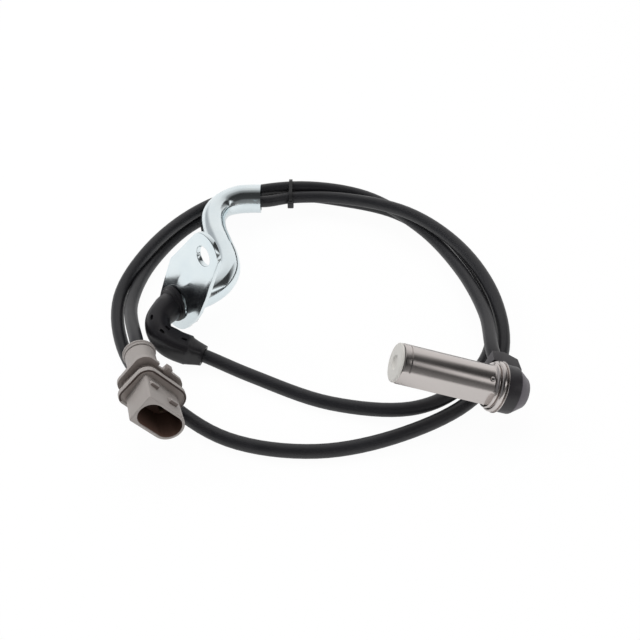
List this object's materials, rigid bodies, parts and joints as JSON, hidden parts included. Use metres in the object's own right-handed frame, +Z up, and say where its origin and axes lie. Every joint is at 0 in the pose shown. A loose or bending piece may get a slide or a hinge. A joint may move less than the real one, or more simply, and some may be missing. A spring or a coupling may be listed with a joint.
{
  "type": "abs wheel speed sensor",
  "caption": "Stainless wheel speed sensor with a flat-sided probe, a coiled black lead through a zinc plated guide tube and lug, and a grey two-way connector.",
  "frame": {"origin": "centre of the box round the sensor, the guide bracket and the elbow, at the level of the lug's lowest edge, which is the floor the lead lies on", "axes": "+Z up off the floor, -Y towards the viewer of the picture, +X to the viewer's right, so the sensor's head is at +X and its tip points to -X"},
  "size_m": [0.1752, 0.1762, 0.0557],
  "materials": {
    "stainless": "drawn and polished lengthwise",
    "cap_plastic": "pale moulded disc",
    "head_black": "satin moulded",
    "soft_iron": "turned",
    "bobbin_plastic": "natural moulded",
    "enamelled_copper": "enamelled wire, modelled as one ring",
    "magnet_plate": "plated",
    "contact_metal": "plated",
    "seal_rubber": "moulded",
    "cable_sheath": "satin sheath",
    "zinc_tube": "bright zinc plated",
    "zinc_plate": "bright zinc plated",
    "elbow_rubber": "satin moulded",
    "tie_nylon": "moulded",
    "connector_grey": "warm grey moulded",
    "seal_red": "moulded"
  },
  "bodies": {
    "root": {"probe_shell": "stainless", "tip_cap": "cap_plastic", "head_moulding": "head_black", "pole_pin": "soft_iron", "coil_bobbin": "bobbin_plastic", "coil_winding": "enamelled_copper", "magnet": "magnet_plate", "terminal_pin_1": "contact_metal", "terminal_pin_2": "contact_metal", "seal_ring": "seal_rubber", "cable": "cable_sheath", "bracket_tube": "zinc_tube", "bracket_plate": "zinc_plate", "elbow_sleeve": "elbow_rubber", "cable_tie": "tie_nylon", "connector_housing": "connector_grey", "seal_retainer": "connector_grey", "wire_seal": "seal_red", "contact_pin_1": "contact_metal", "contact_pin_2": "contact_metal"}
  },
  "joints": []
}
